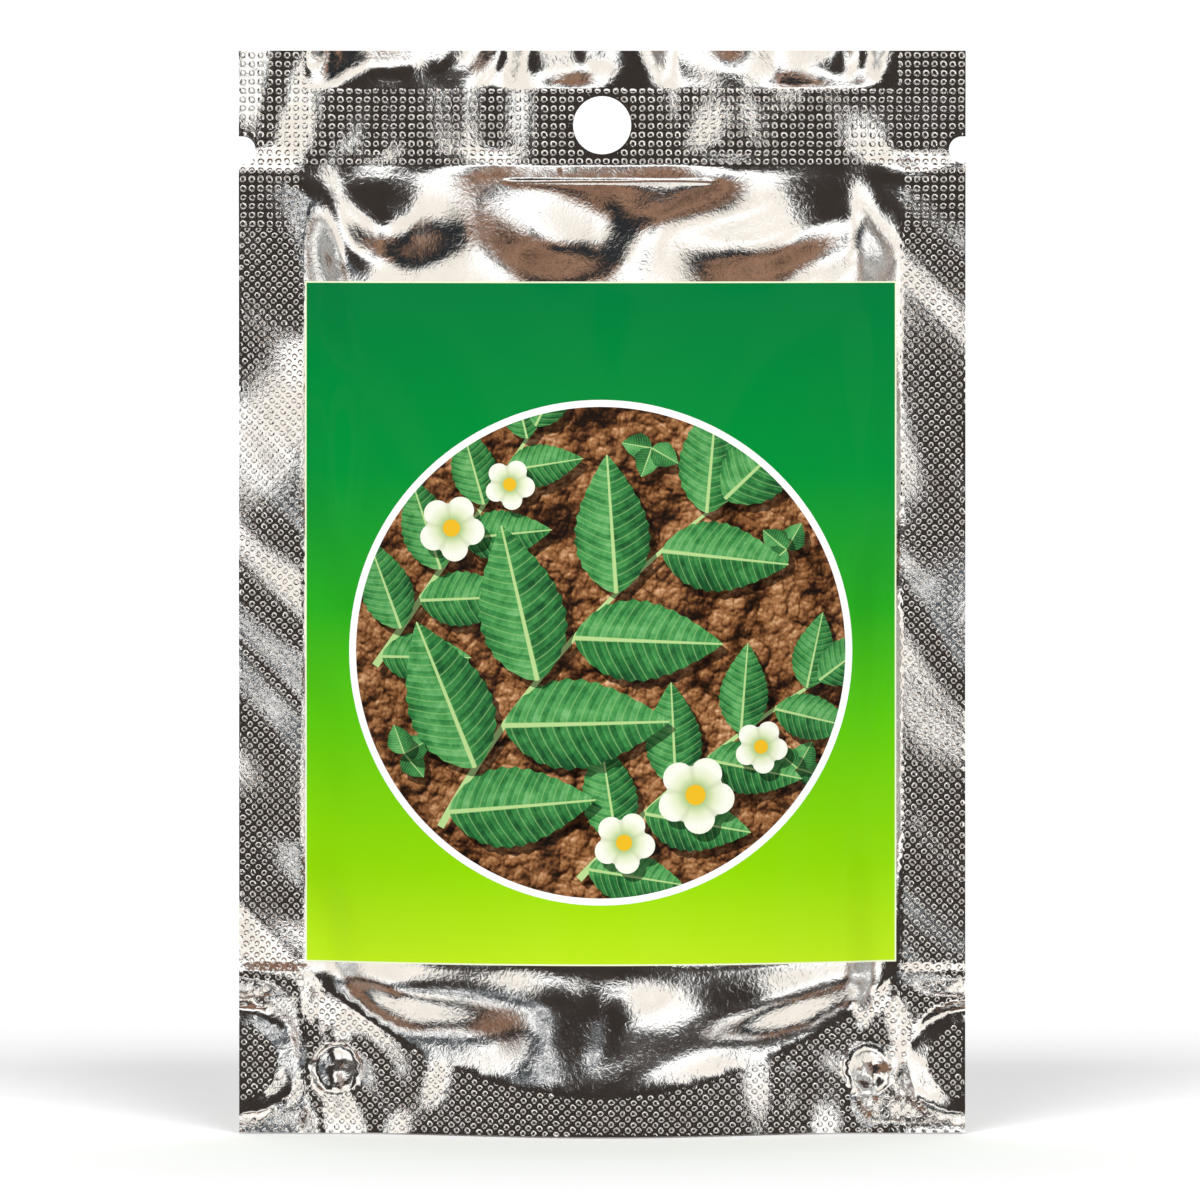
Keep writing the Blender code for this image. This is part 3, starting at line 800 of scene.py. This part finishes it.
def stem_place(stem, share):
    """(u, v, direction in degrees) on a stem's curve, from the picture's middle."""
    (ax, ay), (bx, by), (cx, cy) = stem
    rest = 1 - share
    u = rest * rest * ax + 2 * rest * share * bx + share * share * cx
    v = rest * rest * ay + 2 * rest * share * by + share * share * cy
    slope_u, slope_v = rest * (bx - ax) + share * (cx - bx), rest * (by - ay) + share * (cy - by)
    return u, v, math.degrees(math.atan2(slope_v, slope_u))


def stem_shape(stem):
    rights, lefts = [], []
    for n in range(25):
        u, v, angle = stem_place(stem, n / 24)
        half = STEM_HALF * (1 - 0.6 * n / 24)
        a, b = half * math.sin(math.radians(angle)), half * math.cos(math.radians(angle))
        rights.append((u + a, v - b))
        lefts.append((u - a, v + b))
    return rights + lefts[::-1], ((0, 0), (0, 0), (0, 0))


def leafy_stem(stem, longest):
    """A stem and its leaves, the lowest first."""
    shapes = [stem_shape(stem)]
    for n, share in enumerate(LEAF_STEPS):
        u, v, angle = stem_place(stem, share)
        turn = LEAF_ANGLE - 10 * share
        length = longest * (1 - 0.45 * abs(share - 0.3))
        side = 1 if n % 2 else -1
        shapes.append(leaf_shape((u, v), angle + side * turn, length, 0.27 * length))
    u, v, angle = stem_place(stem, 1)
    shapes.append(leaf_shape((u, v), angle + 6, 0.7 * longest, 0.2 * longest))
    return shapes


def sprig(u, v, angle):
    """Three small leaves round one point."""
    return [leaf_shape((u, v), angle + turn, 4.2, 1.75, 3) for turn in (-80, 0, 80)]


def blossom_shape(centre, radius):
    """(outline, frame) of a blossom with five petals."""
    outline = []
    for n in range(60):
        angle = 2 * math.pi * n / 60
        reach = radius * (0.66 + 0.34 * abs(math.cos(2.5 * angle + 0.4)) ** 0.7)
        outline.append((centre[0] + reach * math.cos(angle), centre[1] + reach * math.sin(angle)))
    return outline, (centre, (1 / radius, 0), (0, 1 / radius))


def inside(points, outline):
    """True for each point that lies inside a closed outline."""
    hit = np.zeros(len(points), dtype=bool)
    for (ax, ay), (bx, by) in zip(outline, outline[1:] + outline[:1]):
        if ay == by:
            continue
        spans = (points[:, 1] < ay) != (points[:, 1] < by)
        hit ^= spans & (points[:, 0] < ax + (points[:, 1] - ay) * (bx - ax) / (by - ay))
    return hit


def shifted(outline, by):
    return [(u + by[0], v + by[1]) for u, v in outline]


def picture_shapes(centre):
    """(outline, frame, material slot) of each printed shape, the lowest first."""
    plants = []
    for place in SPRIGS:
        plants += [(outline, frame, LEAF) for outline, frame in sprig(*place)]
    for stem, longest in STEMS:
        plants += [(outline, frame, LEAF) for outline, frame in leafy_stem(stem, longest)]
    for u, v, radius in BLOSSOMS:
        outline, frame = blossom_shape((u, v), radius)
        plants.append((outline, frame, PETAL))
        plants.append((ring((u, v), 0.26 * radius, 20)[:-1], frame, YELLOW))
    moved = []
    for outline, (root, along, across), number in plants:
        if number != YELLOW:
            moved.append((shifted(shifted(outline, SHADOW_SHIFT), centre), None, SOIL_SHADED))
        moved.append((shifted(outline, centre), (shifted([root], centre)[0], along, across), number))
    return moved


def add_label():
    left, right = LABEL_SHIFT - LABEL_HALF, LABEL_SHIFT + LABEL_HALF
    corners = [(left, LABEL_LOW), (right, LABEL_LOW), (right, LABEL_HIGH), (left, LABEL_HIGH)]
    inset = 0.22
    shrink = ((inset, inset), (-inset, inset), (-inset, -inset), (inset, -inset))
    inner_corners = [(u + a, v + b) for (u, v), (a, b) in zip(corners, shrink)]
    centre = (LABEL_SHIFT, PICTURE_HEIGHT)
    window = PICTURE_RADIUS - RING_WIDTH
    shapes = picture_shapes(centre)
    lines = [closed(inner_corners, 1.0), ring(centre, PICTURE_RADIUS, 160), ring(centre, window, 160)]
    lines += [[*outline, outline[0]] for outline, _, _ in shapes]
    inner = [p for p in lattice(0, HEIGHT, 1.3) if left < p[0] < right and LABEL_LOW < p[1] < LABEL_HIGH]
    flat, faces, _ = flat_sheet(closed(corners, 1.0)[:-1], lines, [], inner, 0.5)
    u, v = flat[:, 0], flat[:, 1]
    out = film_out(u, v, "front_film") + FILM / 2 + PAPER
    vertices = np.column_stack((u, buckle(u, v) - out, v)) * MM
    materials = [ground_material(), plain_print("label_white", (1.0, 1.0, 0.99))]
    materials += [plain_print("label_edge", (0.90, 0.94, 0.66)), soil_material("label_soil", 1.0)]
    materials += [soil_material("label_soil_shaded", 0.22), leaf_material("label_leaf", 1.0)]
    materials += [petal_material(), plain_print("label_yellow", (0.85, 0.50, 0.02))]
    materials.append(leaf_material("label_leaf_shaded", 0.30))
    obj = new_object("front_label", vertices, faces, materials, flat / UV_SPAN)
    middle = flat[faces].mean(axis=1)
    from_centre = np.hypot(middle[:, 0] - centre[0], middle[:, 1] - centre[1])
    slot = np.full(len(faces), GROUND, dtype=np.int32)
    slot[from_centre < PICTURE_RADIUS] = RING
    border = np.minimum.reduce(
        [middle[:, 0] - left, right - middle[:, 0], middle[:, 1] - LABEL_LOW, LABEL_HIGH - middle[:, 1]]
    )
    slot[border < inset] = EDGE
    seen = from_centre < window
    slot[seen] = SOIL
    leaf_uv = np.zeros((len(faces), 3, 2))
    for outline, place, number in shapes:
        here = seen & inside(middle, outline)
        if number == SOIL_SHADED:
            slot[here & (slot == LEAF)] = LEAF_SHADED
            slot[here & (slot == SOIL)] = SOIL_SHADED
            continue
        slot[here] = number
        root, along, across = place
        offset = flat[faces[here]] - np.array(root)
        leaf_uv[here] = np.stack((offset @ np.array(along), offset @ np.array(across)), axis=-1)
    obj.data.polygons.foreach_set("material_index", slot)
    layer = obj.data.uv_layers.new(name="leaf")
    layer.data.foreach_set("uv", leaf_uv.astype(np.float32).ravel())
    add_rim(obj, PAPER * MM)
    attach(obj, "root")
    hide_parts("label")


def seed_material():
    m = new_material("seed_coat_pitted")
    place = m.add("TexCoord").outputs["Object"]
    pits = m.add("TexVoronoi", {"Vector": place, "Scale": 1400.0})
    m.to("Base Color", m.ramp(pits.outputs[0], [(0.1, (0.010, 0.009, 0.008)), (0.8, (0.035, 0.030, 0.026))]))
    bump = m.add("Bump", {"Height": pits.outputs[0], "Strength": 0.4, "Distance": 0.0002})
    m.to("Normal", bump.outputs[0])
    m.to("Roughness", 0.55)
    return m.owner


def add_floor():
    mesh = bpy.data.meshes.new("floor")
    mesh.from_pydata([(-1.2, -1.2, 0), (1.2, -1.2, 0), (1.2, 1.2, 0), (-1.2, 1.2, 0)], [], [(0, 1, 2, 3)])
    floor = bpy.data.objects.new("floor", mesh)
    bpy.context.scene.collection.objects.link(floor)
    m = new_material("floor_white")
    m.to("Base Color", (0.95, 0.95, 0.95, 1))
    m.to("Roughness", 0.6)
    m.to("Specular IOR Level", 0.0)
    mesh.materials.append(m.owner)
    floor.location.z = -0.0002
    floor.visible_glossy = False


def add_world():
    """Even white light, and for reflections a studio with pale, brown and dark parts."""
    world = bpy.data.worlds.new("studio")
    bpy.context.scene.world = world
    m = Nodes(world)
    m.tree.nodes.clear()
    place = m.add("TexCoord").outputs["Generated"]
    split = m.add("SeparateXYZ", {"Vector": place}).outputs
    turn = m.add("CombineXYZ", {"X": split[0], "Y": split[2]}).outputs[0]
    tilt = m.add("VectorMath", {0: turn}, operation="LENGTH").outputs["Value"]
    moved = m.add("VectorMath", {0: place, 1: ROOM_SHIFT}, operation="ADD").outputs[0]
    patches = m.add("TexNoise", {"Vector": moved, "Scale": 2.2, "Detail": 2.5, "Distortion": 0.5}).outputs[0]
    core = m.step(tilt, 0.12, 0.25, -0.34, 0.0)
    below = m.step(split[2], -0.64, -0.44, 0.15, 0.0)
    from_low = m.math("ABSOLUTE", m.math("ADD", split[2], 0.25))
    horizon = m.step(from_low, 0.02, 0.13, -0.16, 0.0)
    tone = m.total(patches, core, below, horizon, -0.06)
    white, cream = (1.30, 1.30, 1.30), (1.00, 0.93, 0.84)
    charcoal, slate = (0.022, 0.026, 0.030), (0.085, 0.105, 0.12)
    brown, dark_brown, rosy = (0.24, 0.135, 0.085), (0.042, 0.034, 0.030), (0.38, 0.220, 0.145)
    grey, pewter, silver = (0.120, 0.108, 0.100), (0.30, 0.27, 0.245), (0.66, 0.64, 0.61)
    level = [
        (0.18, dark_brown),
        (0.24, grey),
        (0.28, charcoal),
        (0.31, slate),
        (0.33, white),
        (0.50, cream),
        (0.58, cream),
        (0.64, white),
    ]
    tilted = [
        (0.27, dark_brown),
        (0.33, brown),
        (0.37, rosy),
        (0.41, brown),
        (0.44, charcoal),
        (0.515, charcoal),
        (0.53, slate),
        (0.54, white),
        (0.57, cream),
        (0.66, cream),
        (0.72, white),
    ]
    aside = [
        (0.25, charcoal),
        (0.29, brown),
        (0.33, pewter),
        (0.37, silver),
        (0.40, slate),
        (0.43, silver),
        (0.47, white),
        (0.54, cream),
        (0.57, pewter),
        (0.60, cream),
        (0.66, white),
    ]
    front = m.mix(m.step(tilt, 0.39, 0.48), m.ramp(tone, level), m.ramp(tone, tilted))
    beside = m.step(m.math("ABSOLUTE", split[0]), 0.40, 0.56)
    far = m.math("MAXIMUM", m.step(tilt, 0.78, 0.92), beside)
    room = m.mix(far, front, m.ramp(tone, aside))
    glossy = m.add("Background", {"Color": room, "Strength": 1.0}).outputs[0]
    plain = m.add("Background", {"Color": (1, 1, 1, 1), "Strength": 0.12}).outputs[0]
    sky = m.add("Background", {"Color": (1, 1, 1, 1), "Strength": 1.1}).outputs[0]
    path = m.add("LightPath").outputs
    lit = m.add("MixShader", {0: path["Is Glossy Ray"], 1: plain, 2: glossy}).outputs[0]
    seen = m.add("MixShader", {0: path["Is Camera Ray"], 1: lit, 2: sky}).outputs[0]
    m.add("OutputWorld", {"Surface": seen})


def add_light(name, side, high, spread, strength):
    """A far soft light, turned sideways and upwards in degrees. It isn't itself seen in the foil."""
    data = bpy.data.lights.new(name, "SUN")
    data.angle = math.radians(spread)
    data.energy = strength
    light = bpy.data.objects.new(name, data)
    bpy.context.scene.collection.objects.link(light)
    a, b = math.radians(side), math.radians(high)
    towards = Vector((math.sin(a) * math.cos(b), -math.cos(a) * math.cos(b), math.sin(b)))
    light.rotation_euler = (-towards).to_track_quat("-Z", "Y").to_euler()
    light.visible_glossy = False


def add_camera():
    """A long lens, nearly level, that frames the packet as in the photograph."""
    across = 0.1652
    distance = 3.0
    down = math.radians(1.6)
    target = Vector((-0.0003, 0, 0.0734))
    data = bpy.data.cameras.new("camera")
    data.sensor_width = 36
    data.lens = 36 * distance / across
    data.clip_end = 50
    camera = bpy.data.objects.new("camera", data)
    bpy.context.scene.collection.objects.link(camera)
    camera.location = target + distance * Vector((0, -math.cos(down), math.sin(down)))
    camera.rotation_euler = (target - camera.location).to_track_quat("-Z", "Y").to_euler()
    bpy.context.scene.camera = camera


foil = foil_material()
pattern = film_pattern()
add_film("foil_front", "front_film", -1, pattern, foil)
add_film("foil_back", "back_film", 1, pattern, foil)
add_gusset(foil)
add_label()
coat = seed_material()
for name, node in frame["nodes"].items():
    if name.startswith("seed_"):
        for slot in node.material_slots:
            slot.material = coat
bpy.context.scene.view_settings.view_transform = "Standard"
add_floor()
add_world()
add_light("key_left", -14, 30, 18, 2.15)
add_light("key_right", 14, 30, 18, 2.15)
add_light("behind", 180, 50, 60, 1.20)
add_camera()
